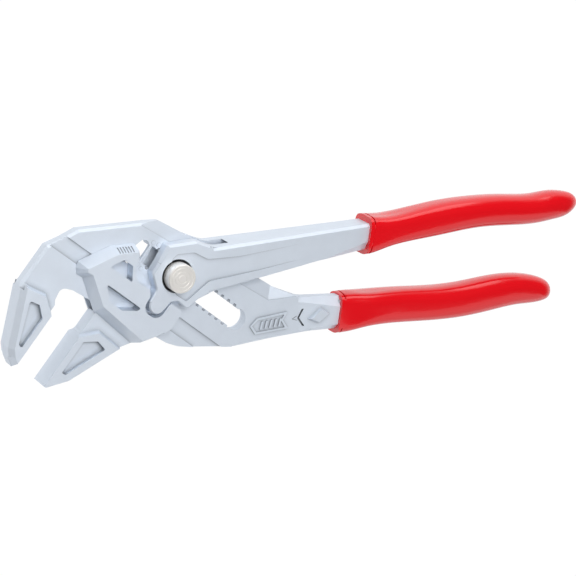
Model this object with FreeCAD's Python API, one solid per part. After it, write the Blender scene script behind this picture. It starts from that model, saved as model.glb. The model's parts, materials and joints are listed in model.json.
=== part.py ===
import FreeCAD, Part
import math
import os

from FreeCAD import Vector

os.makedirs("parts", exist_ok=True)

# Pliers wrench with push-button size setting, lying flat.
# Plan frame: origin on the hinge axis, +X towards the handle ends, +Z towards the button side.
# Millimetres throughout. Every forging is symmetric about z = 0 unless a step says otherwise.

# driving dimensions
SLIDE_ANGLE = -40.5          # direction in which the moving jaw opens, degrees from +X
WEB = 2.75                   # half thickness of the first limb round its slot
SHOULDER_STEP = 0.3          # the machined face stands this far above the forged shoulder
INNER = 2.9                  # inner faces of the fork plates and of the sliding jaw plates
PLATE = 7.8                  # outer faces of those plates
GROOVE_FLOOR = 2.05          # half thickness of the web inside the guide groove
RAIL_FACE = 2.2              # how near z = 0 the sliding jaw's rails come
GROOVE_LOW = -18.0           # guide groove, across the slide direction
GROOVE_HIGH = -11.8
RAIL_PLAY = 0.2
FIXED_PAD = 5.7              # half thickness of the fixed jaw
MOVING_PAD = 5.1             # half thickness of the moving jaw's nose
NECK = 3.3                   # half thickness of the moving jaw between plates and nose
FIXED_FACE = -32.4           # gripping faces, along the slide direction
MOVING_FACE = -17.7
FIXED_JAW_TIP = -61.9        # tips of the jaws, across the slide direction
JAW_TIP = -61.4
GRIP_FACE_END = -38.2        # inner ends of both gripping faces

SLOT_START = -13.75          # toothed slot, along the slide direction
SLOT_END = 39.4
LAST_TOOTH = 33.2
TOOTH_PITCH = 1.7
TOOTH_TIP = 3.7              # half width of the slot between tooth tips
TOOTH_ROOT = 4.8
TOOTH_FLOOR = 0.25           # the teeth fill the slot's edges from here to the front face
TOOTH_TOP = 2.6              # the fine teeth stop here, under a thin front edge with coarser scallops
SCALLOP_PITCH = 3.4
SCALLOP_MOUTH = 1.05         # half widths of a scallop at the slot's edge and at its bottom
SCALLOP_BOTTOM = 0.5
COLLAR_PLAY = 0.12

BOLT_R = 3.5
BORE_R = 3.55
COLLAR_LOW = 0.45            # toothed collar of the bolt
COLLAR_HIGH = 2.55
COLLAR_HALF = 3.4
BOLT_REAR = -5.3
RING_TOP = -4.35
RING_THICK = 0.6
RING_R = 4.9
RING_RECESS_R = 5.3
BUTTON_R = 5.55
BUTTON_HOLE_R = 6.5
BUTTON_LOW = 7.2
BUTTON_TOP = 11.8
BUTTON_ROOF = 10.4
BUTTON_SKIRT_R = 4.85
BOLT_SHOULDER = 9.0
BOLT_NECK_R = 2.3
BOLT_NECK_TOP = 11.2
BUSH_TOP = 4.4
WASHER_R = 4.7
WASHER_BORE_R = 3.7
WASHER_TOP = 4.9
SPRING_WIRE_R = 0.3
SPRING_R = 4.3
SPRING_TURNS = 5
PANEL_DEPTH = 1.9            # sunk panels on both jaws
RIB_COUNT = 6                # ribs on the sliding jaw's top bevel
RIB_DEPTH = 0.3

TOE_X = -8.3                 # round toe of the fork, which drives the sliding jaw
TOE_Y = -10.15
TOE_R = 3.45

HANDLE_TAPER_START = 16.0    # the upper handle thins from here
HANDLE_TAPER_END = 86.0
HANDLE_END_HALF = 5.0
LOWER_TAPER_START = 54.0     # the lower handle thickens from here
LOWER_TAPER_END = 71.0
LOWER_END_HALF = 4.2
BAR_COUNT = 5                # bars in the relief mark
TANG_HALF = 3.6              # half thickness of both handle tangs inside the grips
EDGE = 0.9                   # chamfer on the long edges
RIM = 0.5                    # chamfer round the front of the fork's head


def slide(s, v):
    """A plan point at s along the slide direction and v across it."""
    a = math.radians(SLIDE_ANGLE)
    return (s * math.cos(a) - v * math.sin(a), s * math.sin(a) + v * math.cos(a))


def corner_arc(before, at, after, radius):
    """Start, middle and end of the arc that rounds a corner."""
    a = (Vector(*before) - Vector(*at)).normalize()
    b = (Vector(*after) - Vector(*at)).normalize()
    half = a.getAngle(b) / 2
    reach = radius / math.tan(half)
    middle = (a + b).normalize()
    centre = Vector(*at) + middle * (radius / math.sin(half))
    return Vector(*at) + a * reach, centre - middle * radius, Vector(*at) + b * reach


def face(corners):
    """A flat face at z = 0 from corners (x, y) or (x, y, radius)."""
    edges = []
    count = len(corners)
    ends = []
    for k in range(count):
        at = (corners[k][0], corners[k][1], 0)
        before = (corners[k - 1][0], corners[k - 1][1], 0)
        after = (corners[(k + 1) % count][0], corners[(k + 1) % count][1], 0)
        radius = corners[k][2] if len(corners[k]) > 2 else 0
        if radius:
            start, middle, end = corner_arc(before, at, after, radius)
            edges.append(Part.Arc(start, middle, end).toShape())
            ends.append((start, end))
        else:
            ends.append((Vector(*at), Vector(*at)))
    for k in range(count):
        a = ends[k][1]
        b = ends[(k + 1) % count][0]
        if a.distanceToPoint(b) > 1e-6:
            edges.append(Part.makeLine(a, b))
    return Part.Face(Part.Wire(Part.__sortEdges__(edges)))


def prism(corners, low, high):
    """A straight block over a plan outline."""
    block = face(corners).extrude(Vector(0, 0, high - low))
    block.translate(Vector(0, 0, low))
    return block


def disc(radius, low, high, x=0.0, y=0.0):
    return Part.makeCylinder(radius, high - low, Vector(x, y, low))


def ring(outer, inner, low, high):
    return disc(outer, low, high).cut(disc(inner, low - 1, high + 1))


def side_prism(profile, y_low, y_high):
    """A block over an outline in the XZ plane."""
    points = [Vector(x, y_low, z) for x, z in profile]
    wire = Part.makePolygon(points + points[:1])
    return Part.Face(wire).extrude(Vector(0, y_high - y_low, 0))


def bevel(a, b, low, inset, high, before=3.0, after=3.0):
    """What a bevel removes: outside a plane rising from the line a-b at low to high, inset to its left.

    The cut starts `before` the point a and ends `after` the point b."""
    start = Vector(a[0], a[1], 0)
    along = Vector(b[0], b[1], 0) - start
    length = along.Length
    along.normalize()
    left = Vector(-along.y, along.x, 0)
    slope = inset / (high - low)
    outer = 12.0
    top = high + 2.0
    profile = [(-outer, low), (0, low), (slope * (top - low), top), (-outer, top)]
    origin = start - along * before
    points = [origin + left * d + Vector(0, 0, z) for d, z in profile]
    wire = Part.makePolygon(points + points[:1])
    return Part.Face(wire).extrude(along * (before + length + after))


def shoulder(a, b, face_z, step, fall, outward):
    """What lies right of the long line through a and b, above a small step and a slope falling away from it."""
    reach = 70.0
    heading = (Vector(*b) - Vector(*a)).normalize()
    start = Vector(*a) - heading * reach
    along = heading * (2 * reach)
    left = Vector(-heading.y, heading.x, 0)
    profile = [
        (0, face_z + 2.0),
        (0, face_z - step),
        (-reach, face_z - step - fall * reach / outward),
        (-reach, face_z + 2.0),
    ]
    points = [start + left * d + Vector(0, 0, z) for d, z in profile]
    wire = Part.makePolygon(points + points[:1])
    return Part.Face(wire).extrude(along)


def both_sides(front_half):
    """A forging from the half that lies in front of z = 0."""
    back_half = front_half.mirror(Vector(0, 0, 0), Vector(0, 0, 1))
    return front_half.fuse(back_half).removeSplitter()


def cut_all(shape, tools):
    for tool in tools:
        shape = shape.cut(tool)
    return shape


def fuse_all(shapes):
    whole = shapes[0]
    for shape in shapes[1:]:
        whole = whole.fuse(shape)
    return whole.removeSplitter()


# ---------------------------------------------------------------- grips

# stations along X: (x, centre y, half height, half thickness, squareness of the section)
UPPER_GRIP = [
    (78.0, 3.4, 6.55, 6.7, 4.6),
    (92.0, 3.3, 6.3, 6.7, 4.2),
    (104.0, 4.1, 6.1, 6.6, 3.6),
    (118.0, 4.9, 6.6, 6.5, 3.0),
    (134.0, 5.2, 6.35, 6.5, 2.7),
    (150.0, 4.0, 6.3, 6.3, 2.5),
    (164.0, 2.8, 6.1, 6.2, 2.4),
    (173.0, 3.1, 5.95, 5.8, 2.4),
    (179.0, 3.0, 5.1, 4.9, 2.3),
    (182.7, 3.1, 3.6, 3.4, 2.2),
    (184.6, 2.9, 2.0, 1.9, 2.1),
]
LOWER_GRIP = [
    (66.0, -27.2, 7.1, 6.3, 4.6),
    (84.0, -27.6, 7.0, 6.3, 4.0),
    (98.0, -28.5, 6.85, 6.2, 3.4),
    (114.0, -30.2, 6.9, 6.2, 3.0),
    (130.0, -31.0, 7.0, 6.2, 2.8),
    (144.0, -30.5, 7.05, 6.1, 2.6),
    (156.0, -30.6, 6.5, 6.0, 2.5),
    (164.0, -31.7, 5.9, 5.5, 2.4),
    (169.0, -32.6, 4.9, 4.7, 2.3),
    (171.8, -33.2, 3.7, 3.4, 2.2),
    (173.1, -33.5, 2.3, 2.1, 2.1),
]
GRIP_WALL = 1.5
SECTION_POINTS = 24
UPPER_LIP = (83.3, 3.0)      # where each lip crosses its handle
LOWER_LIP = (71.0, -27.0)
LIP_SLANT = 9.0              # the lips lean this far from square, degrees
LIP_BAND = 1.3               # width of the rolled edge at each lip
LIP_GROOVE = 0.35


def section(x, y, high, thick, power, grow=0.0):
    """A rounded-square cross-section of a grip."""
    points = []
    for k in range(SECTION_POINTS):
        a = 2 * math.pi * k / SECTION_POINTS
        c = math.cos(a)
        s = math.sin(a)
        across = math.copysign(abs(c) ** (2 / power), c) * (high + grow)
        out = math.copysign(abs(s) ** (2 / power), s) * (thick + grow)
        points.append(Vector(x, y + across, out))
    curve = Part.BSplineCurve()
    curve.interpolate(points, PeriodicFlag=True)
    return Part.Wire(curve.toShape())


def slanted_slab(lip, start, end):
    """A slab across a handle between two distances from its lip, leaning as the lip does."""
    slab = Part.makeBox(end - start, 60, 40, Vector(start, -30, -20))
    slab.rotate(Vector(0, 0, 0), Vector(0, 0, 1), -LIP_SLANT)
    slab.translate(Vector(lip[0], lip[1], 0))
    return slab


def grip_skin(stations, lip):
    """A dipped grip: a lofted body with a slanted lip and a shallow groove behind the lip's roll."""
    body = Part.makeLoft([section(*station) for station in stations], True, False)
    core = Part.makeLoft([section(*station, grow=-LIP_GROOVE) for station in stations[:3]], True, False)
    groove = slanted_slab(lip, LIP_BAND, LIP_BAND + 0.6).common(body).cut(core)
    return body.cut(slanted_slab(lip, -60, 0)).cut(groove)


def tang(stations, first, last, end_x):
    """Handle core inside a grip: a bar that follows the grip's middle line."""
    top = []
    bottom = []
    for x, y, high, _, _ in stations[first:last]:
        top.append((x, y + high - GRIP_WALL - 0.9))
        bottom.append((x, y - high + GRIP_WALL + 0.9))
    x, y, high, _, _ = stations[last]
    top.append((end_x, y + 2.2, 2.0))
    bottom.append((end_x, y - 2.2, 2.0))
    return top, bottom


# ---------------------------------------------------------------- first limb

FIXED_TIP = slide(FIXED_FACE, FIXED_JAW_TIP)
JAW_BACK = [(-66.0, -22.6), (-66.2, -18.4), (-60.1, 4.6)]
ARCH = [(-60.1, 4.6), (-49.3, 17.3), (-43.0, 19.2), (-37.0, 21.6), (-21.6, 21.1), (-4.4, 20.5)]
HEAD = [FIXED_TIP, JAW_BACK[0], JAW_BACK[1] + (3.0,), ARCH[0] + (3.0,), ARCH[1] + (1.0,), ARCH[2] + (1.0,)]
HEAD += [ARCH[3] + (2.5,), ARCH[4] + (20.0,), ARCH[5] + (4.0,)]
UPPER_EDGE = [(10.2, 11.2, 25.0), (44.0, -13.0, 9.0), (54.5, -18.2, 14.0), (72.5, -20.3)]
LOWER_EDGE = [
    (72.5, -33.6),
    (58.0, -32.6, 40.0),
    (41.0, -32.8, 40.0),
    (25.6, -33.5, 5.0),
    (7.4, -30.6, 8.0),
    slide(20.3, -21.2) + (4.0,),
    slide(15.4, -22.6) + (3.0,),
]
THROAT = [
    slide(-30.2, -26.6) + (3.2,),
    slide(-34.4, -28.2) + (2.4,),
    slide(-33.6, -33.0) + (1.2,),
    slide(FIXED_FACE, -34.6),
]
LIMB = HEAD + UPPER_EDGE + LOWER_EDGE + THROAT

limb_front = prism(LIMB, 0, WEB)

# the fixed jaw is thicker than the web and meets it with a sloping step
PAD_STEP = [slide(-48.9, -34.4), slide(-38.3, -32.9), slide(FIXED_FACE, -37.2)]
pad_outline = [FIXED_TIP, JAW_BACK[0], JAW_BACK[1] + (3.0,), (-61.0, 2.0)] + PAD_STEP
pad = prism(pad_outline, 0, FIXED_PAD).common(prism(LIMB, 0, FIXED_PAD))
pad = cut_all(
    pad,
    [
        bevel(PAD_STEP[1], PAD_STEP[0], WEB, 1.1, FIXED_PAD),
        bevel(PAD_STEP[2], PAD_STEP[1], WEB, 1.1, FIXED_PAD),
        bevel(JAW_BACK[2], JAW_BACK[1], 3.7, 1.9, FIXED_PAD),
        bevel(JAW_BACK[1], JAW_BACK[0], 3.7, 1.9, FIXED_PAD),
        bevel(JAW_BACK[0], FIXED_TIP, 2.6, 1.9, FIXED_PAD, 1.0, 1.0),
    ],
)
limb_front = limb_front.fuse(pad)

# sunk panel on the fixed jaw
fixed_panel = [
    slide(-43.1, -38.4) + (0.8,),
    slide(-39.0, -37.7) + (0.8,),
    slide(-34.7, -41.2) + (0.8,),
    slide(-34.9, -54.4) + (0.5,),
    slide(-36.7, -53.6) + (0.5,),
]
limb_front = limb_front.cut(prism(fixed_panel, FIXED_PAD - PANEL_DEPTH, FIXED_PAD + 1))

# lower handle thickens towards the grip
swell_plan = [(52.0, -19.0), (72.5, -20.9), (72.5, -33.3), (58.0, -32.3), (52.0, -32.4)]
ramp_side = [
    (50.0, WEB),
    (LOWER_TAPER_START, WEB),
    (LOWER_TAPER_END, LOWER_END_HALF),
    (LOWER_TAPER_END + 5, LOWER_END_HALF),
    (LOWER_TAPER_END + 5, 9.0),
    (50.0, 9.0),
]
swell = prism(swell_plan, 0, LOWER_END_HALF).cut(side_prism(ramp_side, -45.0, 0.0))
limb_front = limb_front.fuse(swell)

# chamfers along the outer edges, and the sloping shoulder above the raised face
edge_cuts = [bevel(b, a, WEB - EDGE, EDGE, WEB, 1.0, 1.0) for a, b in zip(ARCH, ARCH[1:])]
edge_cuts += [
    bevel((25.6, -33.5), (41.0, -32.8), WEB - EDGE, EDGE, WEB, 1.0, 1.0),
    bevel((41.0, -32.8), (58.0, -32.6), WEB - EDGE, EDGE, WEB, 1.0, 1.0),
    bevel((58.0, -32.6), (72.5, -33.6), WEB - EDGE, EDGE, WEB, 0.0, 1.0),
    bevel((72.5, -20.3), (54.5, -18.2), WEB - EDGE - 0.2, 3.8, LOWER_END_HALF, 1.0, 1.0),
]
SHOULDER = [slide(-24.0, 7.2), slide(41.8, 13.3), (56.0, -17.6)]
above = [shoulder(b, a, WEB, SHOULDER_STEP, 1.3, 4.6) for a, b in zip(SHOULDER, SHOULDER[1:])]
past_swell = Part.makeBox(40, 80, 20, Vector(56.0, -60, 0))
edge_cuts.append(above[0].common(above[1]).cut(past_swell))
limb_front = cut_all(limb_front, edge_cuts)

# guide groove for the sliding jaw's rails
groove = [
    slide(-60.0, GROOVE_LOW),
    slide(60.0, GROOVE_LOW),
    slide(60.0, GROOVE_HIGH),
    slide(-60.0, GROOVE_HIGH),
]
limb_front = limb_front.cut(prism(groove, GROOVE_FLOOR, WEB + 0.01))

limb = both_sides(limb_front)

# window between the arch and the slot; only a thin stop bar, near each face, parts it from the slot
BAR_BACK = 1.5
window = [
    slide(-19.4, 0.4) + (0.6,),
    slide(-18.4, 3.4) + (0.8,),
    slide(-16.6, 4.3) + (0.6,),
    slide(SLOT_START - 0.7, 3.3) + (0.5,),
    slide(SLOT_START - 0.7, -6.9) + (0.8,),
    slide(-19.4, -6.9) + (0.8,),
]
limb = limb.cut(prism(window, -9, 9))
under_bar = [
    slide(-17.0, -TOOTH_TIP + 0.4),
    slide(SLOT_START + 1, -TOOTH_TIP + 0.4),
    slide(SLOT_START + 1, TOOTH_TIP - 0.4),
    slide(-17.0, TOOTH_TIP - 0.4),
]
limb = limb.cut(prism(under_bar, -9, BAR_BACK))


def slot_outline(half, start, end):
    """The slot's plan: square at the jaw end, round at the handle end."""
    return [
        slide(start, -half) + (0.4,),
        slide(end, -half) + (half - 0.05,),
        slide(end, half) + (half - 0.05,),
        slide(start, half) + (0.4,),
    ]


# the slot is plain and wide behind the teeth
limb = limb.cut(prism(slot_outline(TOOTH_ROOT, SLOT_START, SLOT_END), -9, TOOTH_FLOOR))
limb = limb.cut(prism(slot_outline(TOOTH_TIP, SLOT_START, SLOT_END - 0.6), -9, 9))


# past the last tooth the slot is wider right through
limb = limb.cut(prism(slot_outline(TOOTH_TIP + 0.6, LAST_TOOTH, SLOT_END - 0.6), -9, 9))


def gullet(at, side, mouth, bottom, tip, root, low, high):
    """One V-shaped tooth space or tooth, centred at `at` along the slide direction."""
    corners = [
        slide(at - mouth, side * (tip - 0.3)),
        slide(at - mouth, side * tip),
        slide(at - bottom, side * root),
        slide(at + bottom, side * root),
        slide(at + mouth, side * tip),
        slide(at + mouth, side * (tip - 0.3)),
    ]
    return prism(corners, low, high)


first_gullet = -7
last_gullet = 18
first_scallop = -3
last_scallop = 9
gullets = []
for k in range(first_gullet, last_gullet + 1):
    for side in (-1, 1):
        at = k * TOOTH_PITCH
        mouth = TOOTH_PITCH * 0.44
        bottom = TOOTH_PITCH * 0.12
        gullets.append(gullet(at, side, mouth, bottom, TOOTH_TIP, TOOTH_ROOT, TOOTH_FLOOR - 0.1, TOOTH_TOP))
limb = limb.cut(Part.makeCompound(gullets))
scallops = []
for k in range(first_scallop, last_scallop + 1):
    for side in (-1, 1):
        at = k * SCALLOP_PITCH
        root = TOOTH_ROOT - 0.1
        scallops.append(gullet(at, side, SCALLOP_MOUTH, SCALLOP_BOTTOM, TOOTH_TIP, root, TOOTH_TOP - 0.3, WEB + 1))
limb = limb.cut(Part.makeCompound(scallops))

# relief marks on the front of the lower handle: a notched frame with bars, two chevrons and a facetted lozenge
RELIEF = 0.45
frame_outer = [
    (32.2, -26.3, 0.4),
    (34.4, -29.9, 0.4),
    (48.9, -29.7, 0.3),
    (46.6, -25.9, 0.4),
    (48.8, -22.8, 0.3),
    (35.4, -23.5, 0.6),
]
frame_inner = [
    (33.2, -26.3, 0.3),
    (35.0, -29.1, 0.3),
    (47.4, -29.0, 0.3),
    (45.7, -25.9, 0.3),
    (47.3, -23.7, 0.3),
    (35.9, -24.3, 0.4),
]
limb = limb.fuse(prism(frame_outer, WEB - 0.1, WEB + RELIEF).cut(prism(frame_inner, WEB - 1, WEB + 2)))
for k in range(BAR_COUNT):
    x = 36.4 + 2.0 * k
    bar = [(x, -28.2), (x + 0.8, -28.2), (x + 1.7, -25.1), (x + 0.9, -25.1)]
    limb = limb.fuse(prism(bar, WEB - 0.1, WEB + RELIEF))


def chevron(x, half, thick):
    """A pointed stroke that opens towards the handle's end."""
    return [
        (x + 2.0, -26.3 + half),
        (x, -26.3),
        (x + 2.2, -26.3 - half),
        (x + 2.2 + thick, -26.3 - half),
        (x + thick, -26.3),
        (x + 2.0 + thick, -26.3 + half),
    ]


limb = limb.cut(prism(chevron(53.0, 3.5, 0.9), WEB - 0.9, WEB + 1))
limb = limb.cut(prism(chevron(50.6, 0.9, 0.5), WEB - 0.5, WEB + 1))

LOZENGE = [(57.3, -27.2), (63.4, -22.6), (67.6, -26.0), (61.8, -29.8)]
middle_x = sum(x for x, _ in LOZENGE) / 4
middle_y = sum(y for _, y in LOZENGE) / 4
crown = [(middle_x + (x - middle_x) * 0.72, middle_y + (y - middle_y) * 0.72) for x, y in LOZENGE]
foot = Part.makePolygon([Vector(x, y, WEB + 0.35) for x, y in LOZENGE + LOZENGE[:1]])
top = Part.makePolygon([Vector(x, y, LOWER_END_HALF + 0.35) for x, y in crown + crown[:1]])
limb = limb.fuse(Part.makeLoft([Part.Wire(foot.Edges), Part.Wire(top.Edges)], True, True))

# peened stops at the slot's start, on the front face
for s, v in ((-14.0, 4.9), (-11.6, 5.4), (-14.2, -5.0), (-12.0, -5.6)):
    x, y = slide(s, v)
    limb = limb.fuse(disc(0.75, WEB - 0.1, WEB + 0.1, x, y))

lower_top, lower_bottom = tang(LOWER_GRIP, 1, 7, 161.0)
lower_tang = prism([(71.5, -21.6)] + lower_top + lower_bottom[::-1] + [(71.5, -32.6)], -TANG_HALF, TANG_HALF)
limb = fuse_all([limb, lower_tang])

# ---------------------------------------------------------------- second handle

fork_outline = [
    (-3.6, 12.3, 1.0),
    (-7.3, 6.6, 6.0),
    (-10.3, 2.4, 2.5),
    (-8.6, -4.1, 2.2),
    (-11.6, -8.4),
    (TOE_X, TOE_Y),
    (-5.9, -12.6),
    (-2.9, -9.8, 1.2),
    (-0.3, -9.8, 1.2),
    (3.6, -13.5, 1.3),
    (8.4, -10.2, 3.0),
    (14.4, -8.3, 6.0),
    (34.7, -6.0, 60.0),
    (60.0, -3.2, 60.0),
    (86.0, -2.0),
    (86.0, 8.0),
    (16.0, 8.6, 10.0),
    (8.4, 12.3, 4.0),
]
fork = prism(fork_outline, 0, PLATE).fuse(disc(TOE_R, 0, PLATE, TOE_X, TOE_Y)).removeSplitter()
rim_edges = [e for e in fork.Edges if abs(e.BoundBox.ZMin - PLATE) < 0.01 and e.BoundBox.XMax < 60]
fork = fork.makeChamfer(RIM, rim_edges)
taper = side_prism(
    [
        (HANDLE_TAPER_START, PLATE),
        (HANDLE_TAPER_END, HANDLE_END_HALF),
        (HANDLE_TAPER_END + 5, HANDLE_END_HALF),
        (HANDLE_TAPER_END + 5, 12.0),
        (HANDLE_TAPER_START, 12.0),
    ],
    -30.0,
    30.0,
)
fork = fork.cut(taper)
fork = cut_all(
    fork,
    [
        bevel((-3.6, 12.3), (-7.3, 6.6), PLATE - 1.2, 1.0, PLATE, 0.5, 0.5),
        bevel((-7.3, 6.6), (-10.1, 2.6), PLATE - 1.0, 0.8, PLATE, 0.3, 0.3),
        bevel((8.4, 12.3), (-3.6, 12.3), PLATE - 1.0, 0.8, PLATE, 0.5, 0.5),
        bevel((14.0, 9.6), (8.4, 12.3), PLATE - 1.0, 0.8, PLATE, 0.2, 0.2),
    ],
)


def edge_chamfer(a, b, half_a, half_b, width):
    """What a chamfer removes along a handle edge whose face tapers from half_a to half_b."""
    start = Vector(a[0], a[1], half_a)
    end = Vector(b[0], b[1], half_b)
    along = end - start
    left = Vector(-(b[1] - a[1]), b[0] - a[0], 0).normalize()
    down = Vector(0, 0, -1)
    out = left * -6.0
    origin = start - along * 0.02
    points = [
        origin + left * width,
        origin + down * width,
        origin + down * width + out,
        origin + out + Vector(0, 0, 6),
        origin + left * width + Vector(0, 0, 6),
    ]
    wire = Part.makePolygon(points + points[:1])
    return Part.Face(wire).extrude(along * 1.04)


fork = fork.cut(edge_chamfer((86.0, 8.0), (16.0, 8.6), HANDLE_END_HALF, PLATE, 1.0))
fork = fork.cut(edge_chamfer((14.4, -8.3), (86.0, -1.8), PLATE, HANDLE_END_HALF, 0.8))

# the lower edge turns into a broad facet just before the grip
facet_start = Vector(62.0, -3.4, 5.95)
facet_edge = Vector(88.0, 2.6, 5.1)
facet_low = Vector(88.0, -3.5, 2.2)
normal = (facet_edge - facet_start).cross(facet_low - facet_start).normalize()
if normal.z < 0:
    normal = normal * -1
facet_tool = Part.makeBox(80, 80, 20)
facet_tool.translate(Vector(-40, -40, 0))
facet_tool.Placement = FreeCAD.Placement(
    facet_start, FreeCAD.Rotation(Vector(0, 0, 1), normal)
).multiply(facet_tool.Placement)
fork = fork.cut(facet_tool)
fork = both_sides(fork)

# fork slot, which takes the first limb; its end wall is parallel to the slide direction at the top
fork_slot = [
    (-40.0, -40.0),
    (62.0, -40.0),
    (62.0, -12.0),
    (55.0, -2.7),
    (45.0, -3.5, 8.0),
    (21.8, 9.4),
    (14.0, 16.2),
    (14.0, 30.0),
    (-40.0, 30.0),
]
fork = fork.cut(prism(fork_slot, -INNER, INNER))

# hole for the button, bore for the bolt's rear end, recess for the retaining ring
fork = fork.cut(disc(BUTTON_HOLE_R, 0, 20))
fork = fork.cut(disc(BORE_R, -20, 0))
fork = fork.cut(disc(RING_RECESS_R, -20, RING_TOP + 0.05))

# sunk panel on the front, which runs out to nothing along the handle
SUNK = 0.5
PANEL_END = 53.0
panel_plan = [
    (-2.4, 7.0, 2.0),
    (0.0, 8.6, 2.0),
    (7.0, 8.3, 2.5),
    (12.4, 4.9, 3.0),
    (26.0, 4.0, 30.0),
    (PANEL_END, 4.9),
    (PANEL_END, -1.3),
    (34.0, -2.8, 40.0),
    (12.9, -3.8, 4.0),
    (3.2, -10.3, 1.0),
    (-1.0, -7.0, 1.0),
]
taper_slope = (PLATE - HANDLE_END_HALF) / (HANDLE_TAPER_END - HANDLE_TAPER_START)
panel_side = [
    (-20.0, PLATE - SUNK),
    (HANDLE_TAPER_START, PLATE - SUNK),
    (PANEL_END, PLATE - taper_slope * (PANEL_END - HANDLE_TAPER_START)),
    (PANEL_END, 12.0),
    (-20.0, 12.0),
]
fork = fork.cut(prism(panel_plan, 0, 12).common(side_prism(panel_side, -30, 30)))

upper_top, upper_bottom = tang(UPPER_GRIP, 1, 8, 170.0)
upper_tang = prism([(84.5, 7.2)] + upper_top + upper_bottom[::-1] + [(84.5, -0.6)], -TANG_HALF, TANG_HALF)
fork = fuse_all([fork, upper_tang])

# ---------------------------------------------------------------- sliding jaw

# corners of the jaw's side plates, in order from the inner end of the gripping face
BASE = slide(-17.8, -28.7)
NOTCH = slide(-29.9, -20.7)
HEEL = slide(-32.6, -21.0)
BACK = slide(-34.5, -19.0)
CROWN = slide(-35.3, -16.8)
BROW = slide(-28.1, -5.4)
PEAK = slide(-20.7, 0.6)
SHOULDER_END = slide(-17.8, -2.0)
SOLE = slide(1.9, -30.6)
HIP = slide(7.9, -22.9)
jaw_outline = [
    BASE,
    NOTCH + (1.0,),
    HEEL + (1.0,),
    BACK + (0.8,),
    CROWN + (0.8,),
    BROW + (0.6,),
    PEAK + (0.5,),
    SHOULDER_END + (1.5,),
    slide(-16.3, -7.4) + (2.5,),
    slide(-12.6, -10.3) + (2.5,),
    slide(-6.4, -10.0) + (1.2,),
    slide(-4.6, -12.0) + (1.0,),
    slide(-4.1, -17.9) + (3.7,),
    slide(4.2, -17.9) + (3.7,),
    slide(4.2, -9.6) + (1.0,),
    slide(10.4, -9.6) + (1.8,),
    slide(11.0, -17.0) + (3.0,),
    HIP + (2.0,),
    SOLE,
]
jaw_plate = prism(jaw_outline, INNER, PLATE)
jaw_plate = cut_all(
    jaw_plate,
    [
        bevel(NOTCH, BASE, INNER, 2.8, PLATE, 0.0, 4.0),
        bevel(HEEL, NOTCH, INNER, 2.8, PLATE, 3.0, 0.0),
        bevel(NOTCH, BASE, INNER, 2.8, PLATE, 2.0).common(bevel(HEEL, NOTCH, INNER, 2.8, PLATE, 3.0, 2.0)),
        bevel(BACK, HEEL, INNER, 2.8, PLATE),
        bevel(CROWN, BACK, INNER, 2.8, PLATE),
        bevel(BROW, CROWN, INNER, 2.7, PLATE),
        bevel(PEAK, BROW, INNER, 2.4, PLATE),
        bevel(BASE, SOLE, INNER, 3.6, PLATE),
        bevel(SOLE, HIP, PLATE - 1.2, 0.9, PLATE),
        bevel(SHOULDER_END, PEAK, PLATE - 0.8, 0.7, PLATE, 0.5, 0.5),
    ],
)

# short ribs pressed into the front top bevel
along_brow = (Vector(*PEAK) - Vector(*BROW)).normalize()
into_plate = Vector(along_brow.y, -along_brow.x, 0)
rib_line = [Vector(*PEAK) + into_plate * RIB_DEPTH, Vector(*BROW) + into_plate * RIB_DEPTH]
rib_bed = bevel(rib_line[0], rib_line[1], INNER, 2.4, PLATE)
for k in range(RIB_COUNT):
    root = Vector(*BROW) + along_brow * (2.0 + 1.1 * k) + into_plate * 0.7
    tip = root + into_plate * 1.5
    corners = [root, root + along_brow * 0.5, tip + along_brow * 0.5, tip]
    jaw_plate = jaw_plate.cut(prism([(c.x, c.y) for c in corners], INNER, PLATE + 1).common(rib_bed))

upper_window = [
    slide(-25.5, -11.7) + (0.4,),
    slide(-22.4, -6.6) + (0.8,),
    slide(-18.0, -6.6) + (0.8,),
    slide(-14.3, -11.7) + (0.4,),
]
lower_window = [
    slide(-22.7, -17.5) + (0.5,),
    slide(-5.0, -17.6) + (0.4,),
    slide(-5.6, -19.1) + (0.5,),
    slide(-11.0, -22.3) + (1.0,),
    slide(-17.2, -22.3) + (1.0,),
]
rail = [
    slide(-31.5, GROOVE_LOW + RAIL_PLAY),
    slide(-5.6, GROOVE_LOW + RAIL_PLAY),
    slide(-5.6, GROOVE_HIGH - RAIL_PLAY),
    slide(-30.6, GROOVE_HIGH - RAIL_PLAY),
    slide(-31.5, GROOVE_HIGH - RAIL_PLAY - 2.5),
]

# the nose carries the gripping face; a thicker pad steps up from it
NOSE_TIP = slide(-16.6, JAW_TIP)
NOSE_KNEE = slide(-10.4, -54.6)
NOSE_ROOT = slide(-0.3, -33.8)
FACE_TIP = slide(MOVING_FACE, JAW_TIP)
PAD_CORNER = slide(MOVING_FACE, -38.2)
PAD_PEAK = slide(-12.0, -32.9)
nose_outline = [
    FACE_TIP,
    slide(MOVING_FACE, -38.4),
    slide(-17.2, -37.0),
    slide(-17.2, -28.4),
    slide(5.1, -26.6),
    NOSE_ROOT + (2.0,),
    NOSE_KNEE + (3.0,),
    NOSE_TIP,
]
pad_plan = [FACE_TIP, PAD_CORNER, PAD_PEAK, NOSE_ROOT, NOSE_KNEE + (3.0,), NOSE_TIP]
nose_pad = cut_all(
    prism(pad_plan, 0, MOVING_PAD),
    [
        bevel(PAD_PEAK, PAD_CORNER, NECK, 0.9, MOVING_PAD, 2.0, 2.0),
        bevel(NOSE_ROOT, PAD_PEAK, NECK, 0.9, MOVING_PAD, 2.0, 2.0),
        bevel(NOSE_KNEE, NOSE_ROOT, MOVING_PAD - 0.6, 0.5, MOVING_PAD, 1.0, 1.0),
        bevel(NOSE_TIP, NOSE_KNEE, MOVING_PAD - 0.6, 0.5, MOVING_PAD, 1.0, 1.0),
    ],
)
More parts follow.
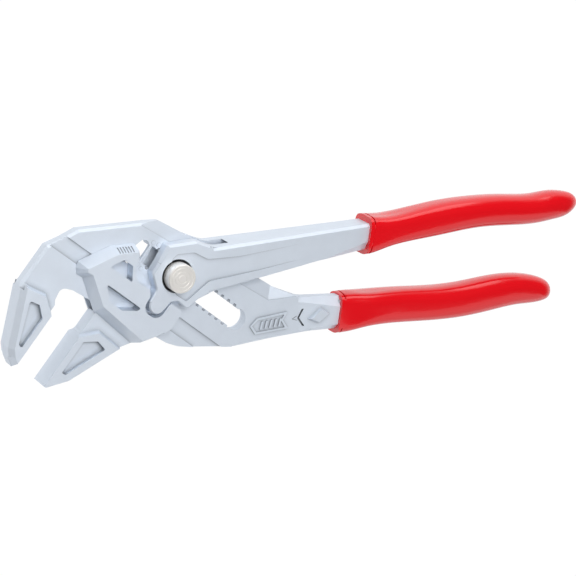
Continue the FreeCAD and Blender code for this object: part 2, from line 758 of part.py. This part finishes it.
nose_panel = [
    slide(-15.1, -53.6) + (0.4,),
    slide(-13.4, -53.6) + (0.4,),
    slide(-5.6, -37.6) + (0.6,),
    slide(-10.3, -36.6) + (0.6,),
    slide(-15.1, -39.8) + (0.6,),
]
nose = prism(nose_outline, 0, NECK).fuse(nose_pad)
nose = nose.cut(prism(nose_panel, MOVING_PAD - PANEL_DEPTH, MOVING_PAD + 1))
jaw_front = fuse_all([jaw_plate, prism(rail, RAIL_FACE, INNER + 0.2), nose])
jaw_front = cut_all(jaw_front, [prism(upper_window, 0, 12), prism(lower_window, 0, 12)])
sliding_jaw = both_sides(jaw_front)

# ---------------------------------------------------------------- joint pieces

bolt = disc(BOLT_R, BOLT_REAR, BOLT_SHOULDER)
bolt = bolt.fuse(disc(BOLT_NECK_R, BOLT_SHOULDER, BOLT_NECK_TOP))
collar_root = TOOTH_TIP - COLLAR_PLAY
collar_tip = TOOTH_ROOT - COLLAR_PLAY
collar = prism(
    [
        slide(-COLLAR_HALF, -collar_root),
        slide(COLLAR_HALF, -collar_root),
        slide(COLLAR_HALF, collar_root),
        slide(-COLLAR_HALF, collar_root),
    ],
    COLLAR_LOW,
    COLLAR_HIGH,
)
tooth_base = TOOTH_PITCH * 0.44 - COLLAR_PLAY
tooth_tip = TOOTH_PITCH * 0.12 - COLLAR_PLAY + 0.05
for k in (-1, 0, 1):
    for side in (-1, 1):
        at = k * TOOTH_PITCH
        tooth = gullet(at, side, tooth_base, tooth_tip, collar_root, collar_tip, COLLAR_LOW, COLLAR_HIGH)
        collar = collar.fuse(tooth)
bolt = fuse_all([bolt, collar])
bolt = bolt.cut(ring(BOLT_R + 1, BOLT_R - 0.6, RING_TOP - RING_THICK, RING_TOP))

retaining_ring = ring(RING_R, BOLT_R - 0.6, RING_TOP - RING_THICK, RING_TOP)
gap = Part.makeBox(8, 2.2, 2)
gap.translate(Vector(0, -1.1, RING_TOP - 1.3))
retaining_ring = retaining_ring.cut(gap)

bearing_bush = ring(BUTTON_HOLE_R, BORE_R, INNER + 0.05, BUSH_TOP)
spring_washer = ring(WASHER_R, WASHER_BORE_R, BUSH_TOP + 0.02, WASHER_TOP)

button = disc(BUTTON_R, BUTTON_LOW, BUTTON_TOP)
button = button.makeChamfer(0.35, [e for e in button.Edges if abs(e.CenterOfMass.z - BUTTON_TOP) < 0.01])
button = button.cut(ring(BUTTON_SKIRT_R, BOLT_R, BUTTON_LOW - 1, BUTTON_ROOF))
button = button.cut(disc(BOLT_R, BUTTON_LOW - 1, BOLT_SHOULDER))
button = button.cut(disc(BOLT_NECK_R, BOLT_SHOULDER - 1, BOLT_NECK_TOP))
for r in (1.6, 3.0, 4.4):
    button = button.cut(ring(r + 0.2, r - 0.2, BUTTON_TOP - 0.15, BUTTON_TOP + 1))

spring_low = WASHER_TOP + SPRING_WIRE_R
spring_high = BUTTON_ROOF - SPRING_WIRE_R
POINTS_PER_TURN = 24
coil_points = []
for k in range(SPRING_TURNS * POINTS_PER_TURN + 1):
    turn = 2 * math.pi * k / POINTS_PER_TURN
    rise = (spring_high - spring_low) * k / (SPRING_TURNS * POINTS_PER_TURN)
    coil_points.append(Vector(SPRING_R * math.cos(turn), SPRING_R * math.sin(turn), spring_low + rise))
coil = Part.BSplineCurve()
coil.interpolate(coil_points)
wire_section = Part.Wire(Part.makeCircle(SPRING_WIRE_R, coil_points[0], coil.tangent(coil.FirstParameter)[0]))
spring = Part.Wire(coil.toShape()).makePipeShell([wire_section], True, True)

# ---------------------------------------------------------------- grips around the tangs

upper_grip = grip_skin(UPPER_GRIP, UPPER_LIP).cut(fork)
lower_grip = grip_skin(LOWER_GRIP, LOWER_LIP).cut(limb)

# ---------------------------------------------------------------- write

NODES = {
    "first_limb": limb,
    "fork_handle": fork,
    "sliding_jaw": sliding_jaw,
    "hinge_bolt": bolt,
    "push_button": button,
    "button_spring": spring,
    "spring_washer": spring_washer,
    "bearing_bush": bearing_bush,
    "retaining_ring": retaining_ring,
    "upper_grip": upper_grip,
    "lower_grip": lower_grip,
}

whole = Part.makeCompound(list(NODES.values())).BoundBox
low = [whole.XMin, whole.YMin, whole.ZMin]
high = [whole.XMax, whole.YMax, whole.ZMax]
OFFSET = Vector(-(low[0] + high[0]) / 2, -(low[1] + high[1]) / 2, PLATE)
print("box", [round(v, 2) for v in low], [round(v, 2) for v in high])
print("hinge axis at", [round(v, 3) for v in OFFSET])

for name, shape in NODES.items():
    placed = shape.copy()
    placed.translate(OFFSET)
    solids = placed.Solids
    print(name, "solids", len(solids), "valid", placed.isValid(), "mm3", round(placed.Volume, 1))
    if len(solids) == 1:
        placed = solids[0]
    placed.exportStep("parts/" + name + ".step")
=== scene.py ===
"""Looks for the pliers wrench: satin chrome, a warm steel button, dipped red grips and a soft studio."""
import json
import math

import bpy
from mathutils import Matrix, Vector


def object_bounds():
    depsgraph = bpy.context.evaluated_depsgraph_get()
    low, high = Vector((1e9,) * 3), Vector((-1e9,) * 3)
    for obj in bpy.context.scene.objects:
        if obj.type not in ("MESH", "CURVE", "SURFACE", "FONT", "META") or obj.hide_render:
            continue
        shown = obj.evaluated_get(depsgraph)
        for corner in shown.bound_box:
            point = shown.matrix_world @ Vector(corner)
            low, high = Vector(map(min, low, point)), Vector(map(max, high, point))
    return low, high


CHROME_NODES = ("first_limb", "fork_handle", "sliding_jaw")
DARK_NODES = ("hinge_bolt", "button_spring", "spring_washer", "bearing_bush", "retaining_ring")
GRIP_NODES = ("upper_grip", "lower_grip")
BUTTON_NODES = ("push_button",)

# Chrome: its colour from the plain plate to its darker grain, and the colour and reach (m) of the shade
# painted into its crevices.
CHROME_COLOUR = (0.700, 0.760, 0.840, 1)
CHROME_GRAIN_COLOUR = (0.540, 0.585, 0.655, 1)
PAINTED_CREVICE_SHADE = (0.040, 0.046, 0.055, 1)
CREVICE_SHADE_REACH = 0.0020
CREVICE_SHADE_SAMPLES = 12
PLATED_METALLIC = 0.6        # less than a bare metal, so that the plate stays pale in a dim room
CHROME_GRAIN_AMOUNT = 0.35   # the most that the grain colour takes
CHROME_ROUGHNESS = (0.54, 0.60)
CHROME_BUMP = (0.18, 0.0001)  # strength, and height in metres

BUTTON_COLOUR = (0.850, 0.830, 0.800, 1)
BUTTON_ROUGHNESS = (0.40, 0.52)

DARK_STEEL_COLOUR = (0.100, 0.100, 0.105, 1)
DARK_STEEL_METALLIC = 0.9
DARK_STEEL_ROUGHNESS = (0.28, 0.42)

GRIP_COLOUR = (0.670, 0.002, 0.007, 1)
GRIP_IOR = 1.5
GRIP_COAT = 0.4
GRIP_ROUGHNESS = (0.18, 0.24)
GRIP_BUMP = (0.12, 0.0008)   # strength, and height in metres

# Noise scales, in waves to the metre, and for the grains their detail.
CHROME_SHADE_SCALE = 160
CHROME_SHADE_DETAIL = 3
CHROME_GLOSS_SCALE = 420
CHROME_GRAIN_SCALE = 2600
BUTTON_SCALE = 900
DARK_STEEL_SCALE = 600
GRIP_GLOSS_SCALE = 60
GRIP_WAVE_SCALE = 38

# The view: the point aimed at, in metres from the hinge axis, then the way back to the camera.
AIM_FROM_HINGE = Vector((0.0505, -0.0144, 0))
CAMERA_AZIMUTH = 145.7
CAMERA_ELEVATION = 57.0
CAMERA_ROLL = 119.8
CAMERA_DISTANCE = 0.804
LENS = 129.8
SENSOR = 36
CLIP_START = 0.01

# The floor, in metres, and its glow: 1 is full white.
FLOOR_DROP = 0.002
FLOOR_SIZE = 6.0
FLOOR_COLOUR = (0.02, 0.02, 0.02, 1)
FLOOR_ROUGHNESS = 0.9
FLOOR_GLOW = 1.0

# The room fades from the horizon to a dim ceiling over this much of the way up.
CEILING_STRENGTH = 0.07
HORIZON_STRENGTH = 0.85
HORIZON_BAND = 0.35

# Soft boxes: place from the aim (m), side of the square (m) and power (W). The main one's place is
# along the camera's right, up and back directions, the others' in the row frame.
MAIN_BOX = ((0.3, 0.1, 1.0), 0.8, 12.4)
LOW_BOX = ((0.45, -0.75, 0.45), 0.9, 2.0)
KEY_BOX = ((0.35, 0.85, 0.35), 0.6, 2.2)

WHITE = (1, 1, 1, 1)


def new_material(name):
    """A new material, with its node tree and its shader."""
    material = bpy.data.materials.new(name)
    material.use_nodes = True
    tree = material.node_tree
    return material, tree, tree.nodes["Principled BSDF"]


def noise(tree, scale, detail=2.0):
    """Noise in object space, so that it stays put on a moving piece."""
    place = tree.nodes.new("ShaderNodeTexCoord")
    texture = tree.nodes.new("ShaderNodeTexNoise")
    texture.inputs["Scale"].default_value = scale
    texture.inputs["Detail"].default_value = detail
    tree.links.new(place.outputs["Object"], texture.inputs["Vector"])
    return texture.outputs["Fac"]


def spread(tree, factor, low, high):
    """The factor, 0 to 1, mapped to run from low to high."""
    stretch = tree.nodes.new("ShaderNodeMapRange")
    stretch.inputs["To Min"].default_value = low
    stretch.inputs["To Max"].default_value = high
    tree.links.new(factor, stretch.inputs["Value"])
    return stretch.outputs["Result"]


def two_colours(tree, factor, first, second):
    """A colour that runs from first to second as the factor rises; each is a colour or a socket."""
    mix = tree.nodes.new("ShaderNodeMix")
    mix.data_type = "RGBA"
    for socket, colour in (("A", first), ("B", second)):
        if isinstance(colour, tuple):
            mix.inputs[socket].default_value = colour
        else:
            tree.links.new(colour, mix.inputs[socket])
    tree.links.new(factor, mix.inputs["Factor"])
    return mix.outputs["Result"]


def bumped(tree, shader, height, strength, distance):
    """Fine relief on the shader's surface."""
    bump = tree.nodes.new("ShaderNodeBump")
    bump.inputs["Strength"].default_value = strength
    bump.inputs["Distance"].default_value = distance
    tree.links.new(height, bump.inputs["Height"])
    tree.links.new(bump.outputs["Normal"], shader.inputs["Normal"])


def openness(tree, reach):
    """How open the surface lies, 0 in a crevice to 1 on a free face."""
    gap = tree.nodes.new("ShaderNodeAmbientOcclusion")
    gap.inputs["Distance"].default_value = reach
    gap.samples = CREVICE_SHADE_SAMPLES
    gap.only_local = True
    return gap.outputs["AO"]


def satin_chrome():
    """Chrome plate over a blasted forging: pale, blue-grey, with a fine grain and shade painted darker
    into its crevices.
    """
    material, tree, shader = new_material("satin_chrome")
    shade = noise(tree, CHROME_SHADE_SCALE, CHROME_SHADE_DETAIL)
    grain = spread(tree, shade, 0, CHROME_GRAIN_AMOUNT)
    plate = two_colours(tree, grain, CHROME_COLOUR, CHROME_GRAIN_COLOUR)
    # Painted shade: ambient occlusion darkens the plate towards near black in crevices and where its
    # faces meet.
    colour = two_colours(tree, openness(tree, CREVICE_SHADE_REACH), PAINTED_CREVICE_SHADE, plate)
    tree.links.new(colour, shader.inputs["Base Color"])
    shader.inputs["Metallic"].default_value = PLATED_METALLIC
    gloss = spread(tree, noise(tree, CHROME_GLOSS_SCALE), *CHROME_ROUGHNESS)
    tree.links.new(gloss, shader.inputs["Roughness"])
    bumped(tree, shader, noise(tree, CHROME_GRAIN_SCALE, 1), *CHROME_BUMP)
    return material


def warm_steel():
    """Warm nickel-plated steel with a slightly uneven satin finish."""
    material, tree, shader = new_material("warm_steel")
    shader.inputs["Base Color"].default_value = BUTTON_COLOUR
    shader.inputs["Metallic"].default_value = PLATED_METALLIC
    gloss = spread(tree, noise(tree, BUTTON_SCALE), *BUTTON_ROUGHNESS)
    tree.links.new(gloss, shader.inputs["Roughness"])
    return material


def dark_steel():
    """Oiled steel of the bolt, its bush, ring, washer and spring."""
    material, tree, shader = new_material("dark_steel")
    shader.inputs["Base Color"].default_value = DARK_STEEL_COLOUR
    shader.inputs["Metallic"].default_value = DARK_STEEL_METALLIC
    gloss = spread(tree, noise(tree, DARK_STEEL_SCALE), *DARK_STEEL_ROUGHNESS)
    tree.links.new(gloss, shader.inputs["Roughness"])
    return material


def dipped_plastic():
    """Thick glossy red plastic, with the slight waviness of a dipped skin."""
    material, tree, shader = new_material("dipped_red")
    shader.inputs["Base Color"].default_value = GRIP_COLOUR
    shader.inputs["IOR"].default_value = GRIP_IOR
    shader.inputs["Coat Weight"].default_value = GRIP_COAT
    gloss = spread(tree, noise(tree, GRIP_GLOSS_SCALE), *GRIP_ROUGHNESS)
    tree.links.new(gloss, shader.inputs["Roughness"])
    bumped(tree, shader, noise(tree, GRIP_WAVE_SCALE, 1), *GRIP_BUMP)
    return material


def dress(frame):
    """Gives every CAD node its material."""
    groups = (
        (CHROME_NODES, satin_chrome()),
        (DARK_NODES, dark_steel()),
        (GRIP_NODES, dipped_plastic()),
        (BUTTON_NODES, warm_steel()),
    )
    for names, material in groups:
        for name in names:
            piece = frame["nodes"][name]
            piece.data.materials.clear()
            piece.data.materials.append(material)


def soft_light(name, place, aim, size, power):
    """A white square soft box at a place, turned towards the aim."""
    lamp = bpy.data.lights.new(name, "AREA")
    lamp.shape = "SQUARE"
    lamp.size = size
    lamp.energy = power
    holder = bpy.data.objects.new(name, lamp)
    bpy.context.scene.collection.objects.link(holder)
    holder.location = place
    holder.rotation_euler = (place - aim).to_track_quat("Z", "Y").to_euler()


def camera_axes():
    """The camera's right, up and back directions in the row frame."""
    azimuth = math.radians(CAMERA_AZIMUTH)
    elevation = math.radians(CAMERA_ELEVATION)
    flat = math.cos(elevation)
    back = Vector((flat * math.cos(azimuth), flat * math.sin(azimuth), math.sin(elevation)))
    level_right = Vector((0, 0, 1)).cross(back).normalized()
    turn = Matrix.Rotation(math.radians(CAMERA_ROLL), 3, back)
    right = turn @ level_right
    return right, back.cross(right), back


def add_camera(aim):
    """The camera, looking at the aim from its distance."""
    right, up, back = camera_axes()
    camera = bpy.data.cameras.new("camera")
    camera.lens = LENS
    camera.sensor_width = SENSOR
    camera.clip_start = CLIP_START
    holder = bpy.data.objects.new("camera", camera)
    bpy.context.scene.collection.objects.link(holder)
    turn = Matrix((right, up, back)).transposed().to_4x4()
    holder.matrix_world = Matrix.Translation(aim + back * CAMERA_DISTANCE) @ turn
    bpy.context.scene.camera = holder


def add_floor(level):
    """A plain floor under the tool, which glows so that it stays white."""
    bpy.ops.mesh.primitive_plane_add(size=FLOOR_SIZE, location=(0, 0, level))
    floor = bpy.context.object
    floor.name = "floor"
    material, _, shader = new_material("white_floor")
    shader.inputs["Base Color"].default_value = FLOOR_COLOUR
    shader.inputs["Roughness"].default_value = FLOOR_ROUGHNESS
    shader.inputs["Specular IOR Level"].default_value = 0.0
    shader.inputs["Emission Color"].default_value = WHITE
    shader.inputs["Emission Strength"].default_value = FLOOR_GLOW
    floor.data.materials.append(material)


def add_room():
    """A white room that is pale at the horizon and dim overhead."""
    world = bpy.data.worlds.new("studio")
    world.use_nodes = True
    sky = world.node_tree
    background = sky.nodes["Background"]
    background.inputs["Color"].default_value = WHITE
    direction = sky.nodes.new("ShaderNodeTexCoord")
    parts = sky.nodes.new("ShaderNodeSeparateXYZ")
    sky.links.new(direction.outputs["Generated"], parts.inputs["Vector"])
    fade = sky.nodes.new("ShaderNodeMapRange")
    fade.inputs["From Max"].default_value = HORIZON_BAND
    fade.inputs["To Min"].default_value = HORIZON_STRENGTH
    fade.inputs["To Max"].default_value = CEILING_STRENGTH
    sky.links.new(parts.outputs["Z"], fade.inputs["Value"])
    sky.links.new(fade.outputs["Result"], background.inputs["Strength"])
    bpy.context.scene.world = world


def add_lights(aim):
    """A large soft box beside the camera and weaker ones on both sides of the tool."""
    right, up, back = camera_axes()
    (along, above, behind), size, power = MAIN_BOX
    soft_light("main", aim + back * behind + up * above + right * along, aim, size, power)
    for name, (place, size, power) in (("low", LOW_BOX), ("key", KEY_BOX)):
        soft_light(name, aim + Vector(place), aim, size, power)


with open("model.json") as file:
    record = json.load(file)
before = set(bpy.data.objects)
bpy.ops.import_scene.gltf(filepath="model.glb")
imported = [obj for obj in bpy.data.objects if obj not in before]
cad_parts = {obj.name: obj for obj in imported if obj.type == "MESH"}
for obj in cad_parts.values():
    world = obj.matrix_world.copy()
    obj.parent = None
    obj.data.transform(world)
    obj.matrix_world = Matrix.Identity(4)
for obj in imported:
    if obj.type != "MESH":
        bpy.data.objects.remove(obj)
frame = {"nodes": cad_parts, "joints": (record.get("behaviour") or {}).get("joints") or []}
cad_low, cad_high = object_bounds()

dress(frame)
hinge = next(joint for joint in frame["joints"] if joint["name"] == "handle_pivot")
aim = Vector(hinge["pos_m"]) + AIM_FROM_HINGE
add_floor(cad_low.z - FLOOR_DROP)
add_camera(aim)
add_room()
add_lights(aim)
bpy.context.scene.view_settings.view_transform = "Standard"
